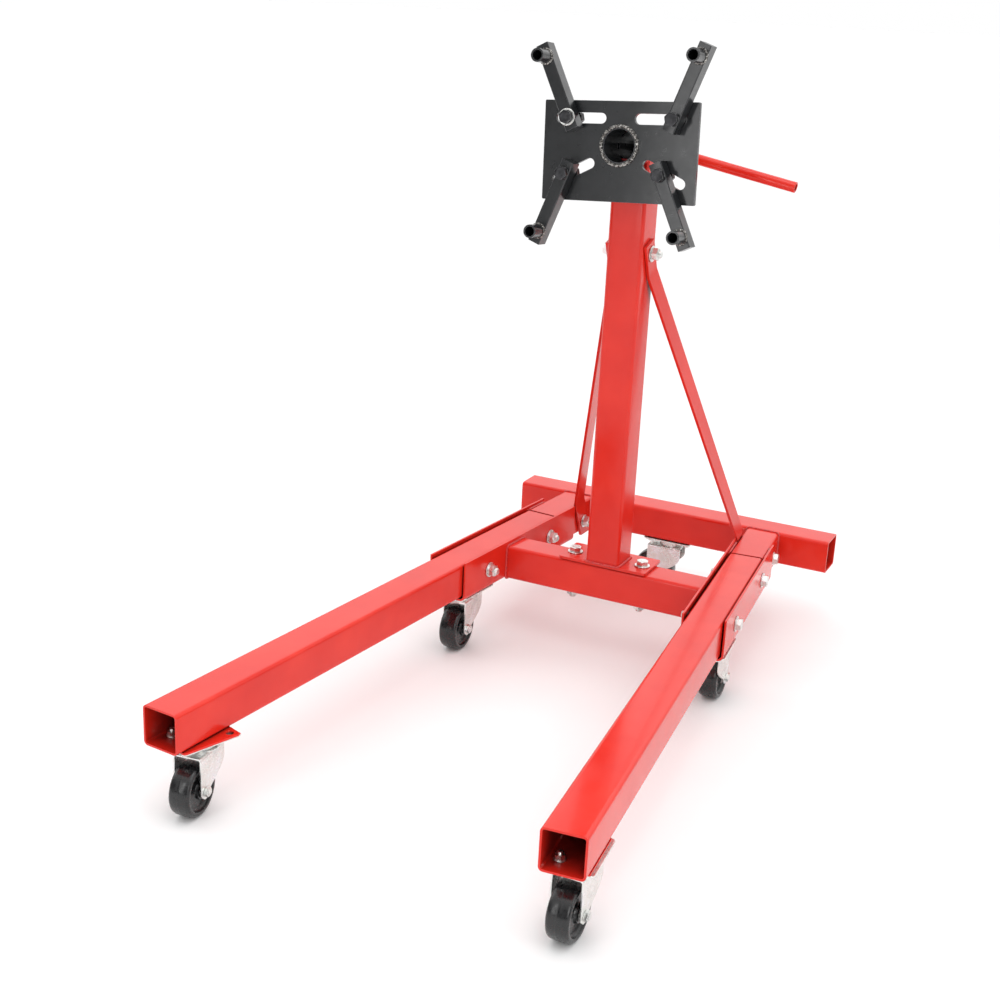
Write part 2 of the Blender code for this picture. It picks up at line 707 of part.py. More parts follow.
def build_arm(name, u, w, heading, turning):
    """An arm, the tube welded on its tip and the bolt that clamps it in the plate's slot."""
    turn = math.radians(90 - heading)
    outline = rounded_rectangle(ARM_WIDTH, ARM_DEPTH, ARM_CORNER, 1)
    arm = solid(name, prism(outline, "Z", -ARM_TAIL, ARM_REACH))
    carve_hole(arm, "Y", (0.0, 0.0), BOLT_HOLE, -ARM_DEPTH, ARM_DEPTH)
    middle = -GAP - ARM_DEPTH / 2
    finish(arm, "black_paint", turning, (u, middle, w), (0.0, turn, 0.0))

    front = -GAP - ARM_DEPTH
    base = -GAP
    profile = [
        (STANDOFF_BORE, base),
        (STANDOFF_R, base),
        (STANDOFF_R, -STANDOFF_LENGTH),
        (STANDOFF_BORE, -STANDOFF_LENGTH),
    ]
    standoff = solid(name.replace("arm", "standoff"), revolve(profile, STANDOFF_FACETS, "Y"))
    tip = (u + STANDOFF_AT * math.sin(turn), front, w + STANDOFF_AT * math.cos(turn))
    finish(standoff, "black_paint", turning, tip)

    grip = GAP + ARM_DEPTH + GAP + PLATE_THICK + GAP
    head = (u, front - GAP, w)
    facing = (QUARTER_TURN, 0.0, 0.0)
    bolt(name.replace("arm", "arm_bolt"), grip, "black_oxide", turning, head, facing, SMALL_WASHER_R)


# ---------------------------------------------------------------- casters


def caster_place(root, name, x, y, top_z, plate_turn, trail_turn):
    """One swivel caster: fixed top plate, turning fork, wheel and axle."""
    width, depth, thick = CASTER_PLATE
    plate_bottom = top_z - thick
    race_bottom = FORK_TOP_Z + GAP
    deck_bottom = FORK_TOP_Z - FORK_DECK
    outline = rounded_rectangle(width, depth, CASTER_CORNER)
    top = solid(name + "_top_plate", prism(outline, "Z", plate_bottom, top_z))
    race = [
        (deck_bottom - GAP - KINGPIN_HEAD, KINGPIN_R + KINGPIN_HEAD, 0),
        (deck_bottom - GAP, KINGPIN_R + KINGPIN_HEAD, 0),
        (deck_bottom - GAP, KINGPIN_R, 0),
        (race_bottom, KINGPIN_R, 0),
        (race_bottom, RACE_R - RACE_BEVEL, 0),
        (plate_bottom - RACE_BEVEL / 2, RACE_R, 0),
        (plate_bottom + WELD_OVERLAP, RACE_R, 0),
    ]
    fuse(top, stack(race, "Z", PIN_FACETS))
    finish(top, "zinc", root, (x, y, 0.0), (0.0, 0.0, plate_turn))
    build_fork(root, name, x, y, trail_turn)
    build_wheel(root, name, x, y, trail_turn)


def build_fork(root, name, x, y, trail_turn):
    deck_bottom = FORK_TOP_Z - FORK_DECK
    inner = FORK_HALF - FORK_WALL
    cheek = [(CHEEK_REAR, FORK_TOP_Z), (CHEEK_FRONT, FORK_TOP_Z)]
    cheek += arc(CHEEK_END_R, 20, -160, 6, (TRAIL, AXLE_Z))
    cheek += [(CHEEK_REAR, CHEEK_NECK_Z)]
    fork = solid(name + "_fork", prism(cheek[::-1], "Y", -FORK_HALF, FORK_HALF))
    fore = TRAIL + TUBE
    aft = CHEEK_REAR - TUBE
    throat = [(aft, deck_bottom), (fore, deck_bottom), (fore, -OVERSHOOT), (aft, -OVERSHOOT)]
    carve(fork, prism(throat, "Y", -inner, inner))
    disc = [
        (deck_bottom, RACE_R - RACE_BEVEL, 0),
        (deck_bottom + RACE_BEVEL / 2, RACE_R, 0),
        (FORK_TOP_Z, RACE_R, 0),
    ]
    fuse(fork, stack(disc, "Z", PIN_FACETS))
    carve_hole(fork, "Z", (0.0, 0.0), KINGPIN_R + GAP, deck_bottom - OVERSHOOT, FORK_TOP_Z + OVERSHOOT)
    carve_hole(fork, "Y", (TRAIL, AXLE_Z), AXLE_R + GAP, -FORK_HALF - OVERSHOOT, FORK_HALF + OVERSHOOT)
    finish(fork, "zinc", root, (x, y, 0.0), (0.0, 0.0, trail_turn))


def build_wheel(root, name, x, y, trail_turn):
    """The wheel has a rounded tread, a recessed web on both faces and a hub round its axle."""
    centre_x = x + TRAIL * math.cos(trail_turn)
    centre_y = y + TRAIL * math.sin(trail_turn)
    half_profile = [
        (AXLE_R + GAP, WHEEL_HALF),
        (HUB_R, WHEEL_HALF),
        (HUB_R + 1.0, WEB_HALF),
        (RIM_R - 1.0, WEB_HALF),
        (RIM_R + 1.0, RIM_HALF),
        (WHEEL_R - 3.5, RIM_HALF),
        (WHEEL_R - 0.8, RIM_HALF - 4.0),
    ]
    profile = half_profile + [(WHEEL_R, 0.0)] + [(radius, -along) for radius, along in half_profile[::-1]]
    wheel = solid(name + "_wheel", revolve(profile, WHEEL_FACETS, "Y"))
    finish(wheel, "black_plastic", root, (centre_x, centre_y, AXLE_Z), (0.0, 0.0, trail_turn))

    face = FORK_HALF + GAP
    end = face + AXLE_HEX_HEIGHT
    sections = [
        (-end - AXLE_TIP, AXLE_R - 1.0, 0),
        (-end, AXLE_R, 0),
        (-end, AXLE_HEX_R, 6),
        (-face, AXLE_HEX_R, 6),
        (-face, AXLE_R, 0),
        (face, AXLE_R, 0),
        (face, AXLE_HEX_R, 6),
        (end, AXLE_HEX_R, 6),
    ]
    axle = solid(name + "_axle", stack(sections, "Y", BOLT_POINTS))
    finish(axle, "zinc", root, (centre_x, centre_y, AXLE_Z), (0.0, 0.0, trail_turn))


def side_point(sign, s):
    """World x and y on a side frame's centre line."""
    return sign * (SIDE_X + s * math.sin(SPLAY)), REAR_FACE_Y - s * math.cos(SPLAY)


# ---------------------------------------------------------------- assembly


def build_side(word, sign, root):
    corner = (sign * SIDE_X, REAR_FACE_Y, 0.0)
    frame = frame_empty("side_frame_" + word, root, corner, (0.0, 0.0, sign * SPLAY))
    build_stub(word, sign, frame)
    build_channel(word, frame)
    build_leg(word, frame)
    build_leg_plate(word, sign, frame)
    build_brace(word, sign, root)
    sideways = (0.0, sign * QUARTER_TURN, 0.0)
    face = CHANNEL_HALF + GAP
    for role, bolt_s in (("leg_pivot_bolt_", PIVOT_S), ("leg_lock_bolt_", LOCK_S)):
        bolt(role + word, 2 * face, "zinc", frame, (sign * face, -bolt_s, TUBE_Z), sideways)
    outer = TUBE / 2 + GAP
    grip = 2 * outer + BRACE_THICK + GAP
    head = (sign * outer, -BRACE_BOLT_S, BRACE_BOLT_Z)
    bolt("brace_lower_bolt_" + word, grip, "zinc", frame, head, sideways, SMALL_WASHER_R)


def build_stand():
    root = frame_empty("stand", None, (0.0, 0.0, 0.0))
    build_rear_crossbar(root)
    for word, sign in (("left", -1), ("right", 1)):
        build_side(word, sign, root)
    build_front_crossbar(root)
    build_base_plate(root)
    build_post(root)
    top_face = TUBE / 2 + GAP + BRACE_THICK + GAP
    bolt(
        "brace_top_bolt", 2 * top_face, "zinc", root,
        (-top_face, POST_Y, BRACE_TOP_Z), (0.0, -QUARTER_TURN, 0.0),
    )
    deck = CROSS_BOTTOM_Z + TUBE + GAP + BASE_PLATE[2] + GAP
    for word, sign in (("left", -1), ("right", 1)):
        bolt(
            "base_bolt_" + word, deck - CROSS_BOTTOM_Z + GAP, "zinc", root,
            (sign * BASE_BOLT_X, CROSS_Y, deck), (0.0, 0.0, 0.0),
        )

    tilted = frame_empty("head_tilt", root, HEAD_CENTRE, (-HEAD_TILT, 0.0, 0.0))
    turning = frame_empty("head_turn", tilted, (0.0, 0.0, 0.0), (0.0, -HEAD_ROLL, 0.0))
    build_sleeve(turning)
    build_lock_pin(turning)
    build_head_tube(turning)
    build_handle(tilted)
    build_head_plate(turning)
    for name, (u, w, heading) in ARMS.items():
        build_arm(name, u, w, heading, turning)

    for word, sign in (("left", -1), ("right", 1)):
        x, y = side_point(sign, LEG_CASTER_S)
        turn = sign * SPLAY + QUARTER_TURN
        if word == "left":
            turn += LEG_PLATE_TURN
        x += FRONT_SHIFT[word]
        caster_place(root, "front_caster_" + word, x, y, FRONT_TOP_Z, turn, FRONT_TRAIL[word])
        x, y = side_point(sign, MID_CASTER_S)
        x += MIDDLE_SHIFT[word]
        turn = sign * SPLAY + QUARTER_TURN
        caster_place(root, "middle_caster_" + word, x, y, MIDDLE_TOP_Z, turn, MIDDLE_TRAIL[word])
    caster_place(root, "rear_caster", 0.0, REAR_FACE_Y + TUBE / 2, REAR_TOP_Z, 0.0, REAR_TRAIL)


for leftover in list(bpy.data.objects):
    bpy.data.objects.remove(leftover, do_unlink=True)
build_stand()
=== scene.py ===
import json
import math

import bmesh
import bpy
from mathutils import Matrix, Vector


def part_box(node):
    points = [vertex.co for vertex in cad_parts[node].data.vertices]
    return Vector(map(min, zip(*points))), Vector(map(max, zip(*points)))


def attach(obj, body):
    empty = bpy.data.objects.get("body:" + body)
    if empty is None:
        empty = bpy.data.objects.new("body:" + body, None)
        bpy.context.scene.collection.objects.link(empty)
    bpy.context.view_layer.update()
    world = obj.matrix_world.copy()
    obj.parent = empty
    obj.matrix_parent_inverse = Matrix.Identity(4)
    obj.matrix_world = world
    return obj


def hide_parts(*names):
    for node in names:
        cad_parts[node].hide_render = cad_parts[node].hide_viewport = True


# Looks of the folding engine stand. Lengths are in millimetres until a piece is placed, and metres after.
MM = 0.001
UP = Vector((0.0, 0.0, 1.0))
QUARTER = math.radians(90)
BEVEL_ANGLE = math.radians(32)
SMOOTH_ANGLE = math.radians(38)

# camera: where it stands, its heading from +Y toward -X, its downward tilt, its roll and its lens
CAMERA_AT = (0.8655, -2.0039, 1.0956)
CAMERA_HEADING = math.radians(25.597)
CAMERA_TILT = math.radians(19.049)
CAMERA_ROLL = math.radians(2.737)
CAMERA_LENS = 53.98
SENSOR = 36.0

# how bright the surroundings are at eye level and overhead
WALL_GLOW = 0.14
CEILING_GLOW = 1.50
REAR_LEAN = 0.35

# frame tubes and channels
TUBE = 60.0
TUBE_WALL = 3.0
TUBE_CORNER = 6.0
CHANNEL_HALF = 36.0
STUB_END_S = 142.0  # where the stub ends and where the channel starts, ahead of the rear crossbar
CHANNEL_START_S = 80.0
SEAM_Z = 166.0  # top of the packing between channel and stub
CHANNEL_FOOT_Z = 112.0
BEAD = 2.2
SEAM_BEAD = 1.8
HEAVY_BEAD = 2.4
RING_BEAD = 3.0
STANDOFF_BEAD = 2.1
EDGE_ROUND = 0.5
SHADE_REACH = 0.07  # metres within which nearby walls darken a face with painted shade

# fasteners
SHANK_R = 6.0
HEX_R = 10.6
HEX_HEIGHT = 8.0
NUT_HEIGHT = 10.0
WASHER_THICK = 2.0
THREAD_TIP = 5.0
THREAD_PITCH = 1.5
THREAD_DEPTH = 0.55
THREAD_LEAD = 0.8
HEAD_SEAT = 0.3
FRAME_WASHER_R = 13.0
BRACE_WASHER_R = 12.0
RING_POINTS = 36
CHAMFER_SLOPE = math.tan(math.radians(30))

# head
SLEEVE_R = 32.0
STANDOFF_R = 10.4
RING_WELD_R = 29.2
ARM_WASHER_R = 9.8

# casters
WHEEL_R = 39.0
WHEEL_HALF = 16.0
WHEEL_BORE = 5.3
TRAIL = 28.0
AXLE_Z = 39.0
FORK_HALF = 21.5
FORK_WALL = 2.5
FORK_TOP_Z = 92.5
FORK_BEND = 5.0
CHEEK_END_R = 12.0
CHEEK_REAR = -24.0
CHEEK_NECK_Z = 72.0
TOP_PLATE_THICK = 2.6
LEFT_PLATE_TURN = math.radians(-13.0)  # the left front caster's plate sits askew
CASTER_BOLT = (36.0, 16.0)
CASTER_HEX_R = 7.0
CASTER_HEAD = 4.6
CASTER_WASHER = 1.4
LEG_NUT_FOOT = 1.5
LEG_NUT_TOP = 8.0
AXLE_R = 5.0
AXLE_END_R = 4.4
AXLE_HEX_R = 7.5
AXLE_HEX_HEIGHT = 5.0

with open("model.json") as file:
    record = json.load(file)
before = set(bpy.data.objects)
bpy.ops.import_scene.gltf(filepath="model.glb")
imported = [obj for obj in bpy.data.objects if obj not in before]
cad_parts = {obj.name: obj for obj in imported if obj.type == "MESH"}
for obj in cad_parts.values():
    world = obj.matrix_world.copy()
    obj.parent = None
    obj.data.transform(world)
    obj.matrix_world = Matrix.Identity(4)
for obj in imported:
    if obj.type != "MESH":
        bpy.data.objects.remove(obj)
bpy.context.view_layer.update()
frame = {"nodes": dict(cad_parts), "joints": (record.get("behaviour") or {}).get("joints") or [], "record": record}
nodes = frame["nodes"]
joints = {joint["name"]: joint for joint in frame["joints"]}
body_of_node = {}
for body_name, members in frame["record"]["behaviour"]["bodies"].items():
    for member in members:
        body_of_node[member] = body_name


# ---------------------------------------------------------------- camera, floor and light


def add_camera():
    """A camera that looks down at the stand from its right front."""
    heading = Vector((-math.sin(CAMERA_HEADING), math.cos(CAMERA_HEADING), 0.0))
    forward = heading * math.cos(CAMERA_TILT) - UP * math.sin(CAMERA_TILT)
    level = forward.cross(UP).normalized()
    upright = level.cross(forward)
    right = level * math.cos(CAMERA_ROLL) + upright * math.sin(CAMERA_ROLL)
    above = upright * math.cos(CAMERA_ROLL) - level * math.sin(CAMERA_ROLL)
    data = bpy.data.cameras.new("camera")
    data.lens = CAMERA_LENS
    data.sensor_width = SENSOR
    camera = bpy.data.objects.new("camera", data)
    bpy.context.scene.collection.objects.link(camera)
    turn = Matrix((right, above, -forward)).transposed()
    camera.matrix_world = Matrix.Translation(CAMERA_AT) @ turn.to_4x4()
    bpy.context.scene.camera = camera


def add_softbox(name, place, aim, size, power):
    data = bpy.data.lights.new(name, "AREA")
    data.shape = "RECTANGLE"
    data.size = size[0]
    data.size_y = size[1]
    data.energy = power
    lamp = bpy.data.objects.new(name, data)
    bpy.context.scene.collection.objects.link(lamp)
    lamp.location = place
    lamp.rotation_euler = (Vector(aim) - Vector(place)).to_track_quat("-Z", "Y").to_euler()


def add_floor():
    """A round pale floor, wide enough that its edge melts into the white surroundings."""
    radius = 60.0
    mesh = bpy.data.meshes.new("floor")
    rim = [(a, b, 0.0) for a, b in circle(radius, 96)]
    mesh.from_pydata(rim, [], [tuple(range(len(rim)))])
    floor = bpy.data.objects.new("floor", mesh)
    bpy.context.scene.collection.objects.link(floor)
    material, shader = start_material("pale_floor", 0.0)
    tone = noise(material, 3.0, 2.0)
    pale = ramp(material, tone, ((0.3, (0.86, 0.86, 0.86)), (0.7, (0.89, 0.89, 0.89))))
    link(material, pale, shader, "Base Color")
    shader.inputs["Roughness"].default_value = 0.80
    shader.inputs["Specular IOR Level"].default_value = 0.2
    mesh.materials.append(material)


def add_studio():
    """White surroundings to the eye, lit as a studio: bright above and behind, dim in front at eye level."""
    world = bpy.data.worlds.new("studio")
    bpy.context.scene.world = world
    world.use_nodes = True
    tree = world.node_tree
    sky = tree.nodes["Background"]
    heading = tree.nodes.new("ShaderNodeTexCoord")
    climb = tree.nodes.new("ShaderNodeVectorMath")
    climb.operation = "DOT_PRODUCT"
    climb.inputs[1].default_value = (0.0, REAR_LEAN, 1.0)
    glow = tree.nodes.new("ShaderNodeMapRange")
    glow.inputs["From Min"].default_value = 0.15
    glow.inputs["From Max"].default_value = 0.75
    glow.inputs["To Min"].default_value = WALL_GLOW
    glow.inputs["To Max"].default_value = CEILING_GLOW
    rays = tree.nodes.new("ShaderNodeLightPath")
    seen = tree.nodes.new("ShaderNodeMix")
    seen.inputs["B"].default_value = 1.0
    tree.links.new(heading.outputs["Generated"], climb.inputs[0])
    tree.links.new(climb.outputs["Value"], glow.inputs["Value"])
    tree.links.new(rays.outputs["Is Camera Ray"], seen.inputs["Factor"])
    tree.links.new(glow.outputs["Result"], seen.inputs["A"])
    tree.links.new(seen.outputs["Result"], sky.inputs["Strength"])
    sky.inputs["Color"].default_value = (1.0, 1.0, 1.0, 1.0)
    add_softbox("front_softbox", (-0.80, -2.7, 1.15), (0.05, 0.15, 0.8), (0.36, 1.8), 9.0)
    add_softbox("fill_softbox", (1.7, -2.9, 1.4), (0.05, 0.15, 0.6), (1.0, 1.8), 20.0)
    add_softbox("top_softbox", (0.4, -0.7, 3.1), (0.0, 0.0, 0.4), (0.35, 2.4), 9.0)
    add_softbox("left_softbox", (-3.4, -1.0, 1.9), (0.0, 0.1, 0.4), (1.4, 2.4), 14.0)
    add_softbox("right_softbox", (3.2, -0.9, 1.7), (0.0, 0.1, 0.5), (0.7, 2.2), 12.0)
    bpy.context.scene.view_settings.view_transform = "Standard"


# ---------------------------------------------------------------- materials


def start_material(name, metallic, coat=0.0, coat_roughness=0.08):
    material = bpy.data.materials.new(name)
    material.use_nodes = True
    shader = material.node_tree.nodes["Principled BSDF"]
    shader.inputs["Metallic"].default_value = metallic
    shader.inputs["Coat Weight"].default_value = coat
    shader.inputs["Coat Roughness"].default_value = coat_roughness
    return material, shader


def link(material, source, node, socket):
    material.node_tree.links.new(source, node.inputs[socket])


def noise(material, scale, detail, stretch=(1.0, 1.0, 1.0), roughness=0.55):
    """Noise over the piece's own coordinates, so that it moves with the piece. Scale is per metre."""
    tree = material.node_tree
    place = tree.nodes.new("ShaderNodeTexCoord")
    mapping = tree.nodes.new("ShaderNodeMapping")
    mapping.inputs["Scale"].default_value = stretch
    texture = tree.nodes.new("ShaderNodeTexNoise")
    texture.inputs["Scale"].default_value = scale
    texture.inputs["Detail"].default_value = detail
    texture.inputs["Roughness"].default_value = roughness
    tree.links.new(place.outputs["Object"], mapping.inputs["Vector"])
    tree.links.new(mapping.outputs["Vector"], texture.inputs["Vector"])
    return texture.outputs["Fac"]


def ramp(material, source, stops):
    """Colours laid over a value, given as (position, colour)."""
    node = material.node_tree.nodes.new("ShaderNodeValToRGB")
    while len(node.color_ramp.elements) < len(stops):
        node.color_ramp.elements.new(0.5)
    for element, (position, colour) in zip(node.color_ramp.elements, stops):
        element.position = position
        element.color = (*colour, 1.0)
    link(material, source, node, "Fac")
    return node.outputs["Color"]


def between(material, source, low, high):
    """A value from low to high as the source goes over its middle range."""
    node = material.node_tree.nodes.new("ShaderNodeMapRange")
    node.inputs["From Min"].default_value = 0.3
    node.inputs["From Max"].default_value = 0.7
    node.inputs["To Min"].default_value = low
    node.inputs["To Max"].default_value = high
    link(material, source, node, "Value")
    return node.outputs["Result"]


def bump(material, source, strength, distance, under=None):
    node = material.node_tree.nodes.new("ShaderNodeBump")
    node.inputs["Strength"].default_value = strength
    node.inputs["Distance"].default_value = distance
    link(material, source, node, "Height")
    if under is not None:
        link(material, under, node, "Normal")
    return node.outputs["Normal"]


def mix(material, share, first, second):
    """Two colours mixed by a value that varies over the surface."""
    node = material.node_tree.nodes.new("ShaderNodeMix")
    node.data_type = "RGBA"
    material.node_tree.links.new(share, node.inputs["Factor"])
    material.node_tree.links.new(first, node.inputs[6])
    material.node_tree.links.new(second, node.inputs[7])
    return node.outputs[2]


def edge_share(material, width):
    """How much the surface turns within a width: near 0 on flats and higher along edges."""
    tree = material.node_tree
    rounded = tree.nodes.new("ShaderNodeBevel")
    rounded.samples = 4
    rounded.inputs["Radius"].default_value = width
    true_normal = tree.nodes.new("ShaderNodeNewGeometry")
    dot = tree.nodes.new("ShaderNodeVectorMath")
    dot.operation = "DOT_PRODUCT"
    tree.links.new(rounded.outputs["Normal"], dot.inputs[0])
    tree.links.new(true_normal.outputs["Normal"], dot.inputs[1])
    spread = tree.nodes.new("ShaderNodeMapRange")
    spread.inputs["From Min"].default_value = 0.995
    spread.inputs["From Max"].default_value = 0.90
    tree.links.new(dot.outputs["Value"], spread.inputs["Value"])
    return spread.outputs["Result"]


def painted_shade_openness(material, reach):
    """Near 1 on faces that stand free and near 0 deep inside tubes, slits and gaps, by ambient occlusion: the mask
    for painted shade.
    """
    tree = material.node_tree
    node = tree.nodes.new("ShaderNodeAmbientOcclusion")
    node.samples = 6
    node.inputs["Distance"].default_value = reach
    spread = tree.nodes.new("ShaderNodeMapRange")
    spread.inputs["From Min"].default_value = 0.12
    spread.inputs["From Max"].default_value = 0.45
    tree.links.new(node.outputs["AO"], spread.inputs["Value"])
    return spread.outputs["Result"]


def make_red_paint():
    """Glossy sprayed enamel with a soft tone drift. Deep in tubes, slits and gaps it turns a dark steel colour by
    ambient occlusion, which is painted shade.
    """
    material, shader = start_material("red_gloss_paint", 0.0, 0.12, 0.06)
    drift = noise(material, 9.0, 3.0)
    tone = ramp(
        material,
        drift,
        ((0.30, (0.66, 0.016, 0.008)), (0.55, (0.72, 0.022, 0.011)), (0.75, (0.78, 0.030, 0.014))),
    )
    # a dark steel colour laid where ambient occlusion finds close walls: painted shade
    steel = ramp(
        material,
        noise(material, 90.0, 4.0),
        ((0.35, (0.010, 0.006, 0.006)), (0.70, (0.035, 0.016, 0.014))),
    )
    # the paint gives way to the dark steel colour as painted shade in tubes, slits and gaps
    link(material, mix(material, painted_shade_openness(material, SHADE_REACH), steel, tone), shader, "Base Color")
    link(material, between(material, noise(material, 20.0, 3.0), 0.17, 0.27), shader, "Roughness")
    peel = bump(material, noise(material, 330.0, 2.0), 0.04, 0.0005)
    waves = bump(material, noise(material, 30.0, 1.0), 0.06, 0.0010, peel)
    link(material, waves, shader, "Normal")
    shader.inputs["Specular IOR Level"].default_value = 0.32
    return material


def make_black_paint():
    """Satin black over steel, lighter grey along the edges as wear and painted highlight, with its reflection
    dimmed near close walls as painted shade.
    """
    material, shader = start_material("black_satin_paint", 0.0, 0.35, 0.12)
    tone = ramp(
        material,
        noise(material, 28.0, 5.0),
        ((0.30, (0.004, 0.005, 0.006)), (0.72, (0.013, 0.014, 0.016))),
    )
    # lighter grey along the edges: partly wear, partly painted highlight
    edge_wear_and_highlight = ramp(
        material,
        noise(material, 260.0, 4.0),
        ((0.40, (0.05, 0.05, 0.055)), (0.66, (0.30, 0.31, 0.33))),
    )
    link(material, mix(material, edge_share(material, 0.0007), tone, edge_wear_and_highlight), shader, "Base Color")
    link(material, between(material, noise(material, 90.0, 5.0), 0.26, 0.38), shader, "Roughness")
    grain = bump(material, noise(material, 700.0, 3.0), 0.14, 0.0004)
    waves = bump(material, noise(material, 70.0, 3.0), 0.10, 0.0010, grain)
    link(material, waves, shader, "Normal")
    # ambient occlusion dims the reflection and coat near close walls: painted shade
    shade_dimmed_reflection = between(material, painted_shade_openness(material, SHADE_REACH), 0.03, 0.42)
    link(material, shade_dimmed_reflection, shader, "Specular IOR Level")
    link(material, shade_dimmed_reflection, shader, "Coat Weight")
    return material


def make_zinc():
    """Bright zinc plating with a faint straw and blue cast, dulled in patches."""
    material, shader = start_material("zinc_plating", 1.0)
    cast = ramp(
        material,
        noise(material, 45.0, 2.0),
        ((0.30, (0.66, 0.67, 0.66)), (0.50, (0.76, 0.76, 0.73)), (0.70, (0.82, 0.83, 0.85))),
    )
    link(material, cast, shader, "Base Color")
    link(material, between(material, noise(material, 160.0, 6.0), 0.20, 0.42), shader, "Roughness")
    brushed = bump(material, noise(material, 420.0, 4.0, (1.0, 1.0, 4.0)), 0.08, 0.0004)
    dents = bump(material, noise(material, 40.0, 2.0), 0.06, 0.0010, brushed)
    link(material, dents, shader, "Normal")
    return material


def make_black_oxide():
    """Oiled black oxide on steel fasteners, with the metal showing on the corners."""
    material, shader = start_material("black_oxide", 0.75)
    tone = ramp(
        material,
        noise(material, 120.0, 4.0),
        ((0.30, (0.020, 0.020, 0.022)), (0.72, (0.060, 0.060, 0.064))),
    )
    metal = ramp(
        material,
        noise(material, 500.0, 3.0),
        ((0.35, (0.10, 0.10, 0.10)), (0.65, (0.42, 0.42, 0.42))),
    )
    link(material, mix(material, edge_share(material, 0.0006), tone, metal), shader, "Base Color")
    link(material, between(material, noise(material, 300.0, 5.0), 0.26, 0.46), shader, "Roughness")
    link(material, bump(material, noise(material, 600.0, 3.0), 0.18, 0.0004), shader, "Normal")
    return material


def make_black_plastic():
    """Glossy moulded polymer with faint flow marks and a little dust."""
    material, shader = start_material("black_plastic", 0.0, 0.20, 0.12)
    tone = ramp(
        material,
        noise(material, 80.0, 5.0),
        ((0.30, (0.003, 0.003, 0.004)), (0.75, (0.010, 0.010, 0.011))),
    )
    link(material, tone, shader, "Base Color")
    link(material, between(material, noise(material, 240.0, 6.0), 0.20, 0.40), shader, "Roughness")
    flow = bump(material, noise(material, 300.0, 3.0), 0.12, 0.0004)
    link(material, bump(material, noise(material, 40.0, 2.0), 0.10, 0.0010, flow), shader, "Normal")
    return material


def make_painted_weld():
    """The same enamel over a weld bead, where it pools and thins."""
    material, shader = start_material("red_painted_weld", 0.0, 0.45, 0.10)
    tone = ramp(
        material,
        noise(material, 300.0, 4.0),
        ((0.30, (0.40, 0.010, 0.010)), (0.65, (0.72, 0.022, 0.018))),
    )
    link(material, tone, shader, "Base Color")
    link(material, between(material, noise(material, 400.0, 4.0), 0.22, 0.42), shader, "Roughness")
    link(material, bump(material, noise(material, 800.0, 4.0), 0.35, 0.0006), shader, "Normal")
    return material


def make_bare_weld():
    """A weld bead left nearly bare: silver scales with burnt black between them."""
    material, shader = start_material("bare_weld", 0.85)
    tone = ramp(
        material,
        noise(material, 420.0, 5.0),
        ((0.38, (0.025, 0.024, 0.024)), (0.50, (0.16, 0.15, 0.14)), (0.64, (0.62, 0.61, 0.58))),
    )
    link(material, tone, shader, "Base Color")
    link(material, between(material, noise(material, 500.0, 4.0), 0.25, 0.60), shader, "Roughness")
    link(material, bump(material, noise(material, 900.0, 4.0), 0.6, 0.0008), shader, "Normal")
    return material


# ---------------------------------------------------------------- shapes


def circle(radius, count, start=0.0):
    angles = [start + 2 * math.pi * index / count for index in range(count)]
    return [(radius * math.cos(angle), radius * math.sin(angle)) for angle in angles]


def hexagon(radius, count=RING_POINTS):
    """Distances from the centre to a hexagon's side, at even angles."""
    sector = math.radians(60)
    reaches = []
    for index in range(count):
        angle = 2 * math.pi * index / count
        within = (angle % sector) - sector / 2
        reaches.append(radius * math.cos(sector / 2) / math.cos(within))
    return reaches


def bridge(bm, first, second):
    count = len(first)
    for index in range(count):
        after = (index + 1) % count
        bm.faces.new((first[index], first[after], second[after], second[index]))


def turned_stack(rings):
    """A closed solid about Z. Each ring is a list of (radius, height), one pair for each point round it."""
    bm = bmesh.new()
    loops = []
    for ring in rings:
        count = len(ring)
        loop = []
        for index, (radius, height) in enumerate(ring):
            angle = 2 * math.pi * index / count
            loop.append(bm.verts.new((radius * math.cos(angle), radius * math.sin(angle), height)))
        loops.append(loop)
    for lower, upper in zip(loops, loops[1:]):
        bridge(bm, lower, upper)
    bm.faces.new(loops[0])
    bm.faces.new(loops[-1])
    return bm


def turned_ring(profile, count):
    """A ring about Z from a closed profile of (radius, height)."""
    bm = bmesh.new()
    loops = []
    for radius, height in profile:
        loops.append([bm.verts.new((a, b, height)) for a, b in circle(radius, count)])
    for index, loop in enumerate(loops):
        bridge(bm, loop, loops[(index + 1) % len(loops)])
    return bm


def rounded_loop(width, height, radius, steps=6):
    """Points round a rectangle with rounded corners."""
    points = []
    for quarter, (sign_a, sign_b) in enumerate(((1, 1), (-1, 1), (-1, -1), (1, -1))):
        for step in range(steps + 1):
            angle = QUARTER * (quarter + step / steps)
            a = sign_a * (width / 2 - radius) + radius * math.cos(angle)
            b = sign_b * (height / 2 - radius) + radius * math.sin(angle)
            points.append(Vector((a, b)))
    return points


def evenly(path, spacing, closed):
    """The path's points taken again at an even spacing."""
    points = list(path) + ([path[0]] if closed else [])
    lengths = [0.0]
    for start, end in zip(points, points[1:]):
        lengths.append(lengths[-1] + (end - start).length)
    count = max(4, round(lengths[-1] / spacing))
    made = []
    segment = 0
    for index in range(count + (0 if closed else 1)):
        along = lengths[-1] * index / count
        while segment < len(lengths) - 2 and lengths[segment + 1] < along:
            segment += 1
        step = max(lengths[segment + 1] - lengths[segment], 1e-9)
        made.append(points[segment].lerp(points[segment + 1], (along - lengths[segment]) / step))
    return made


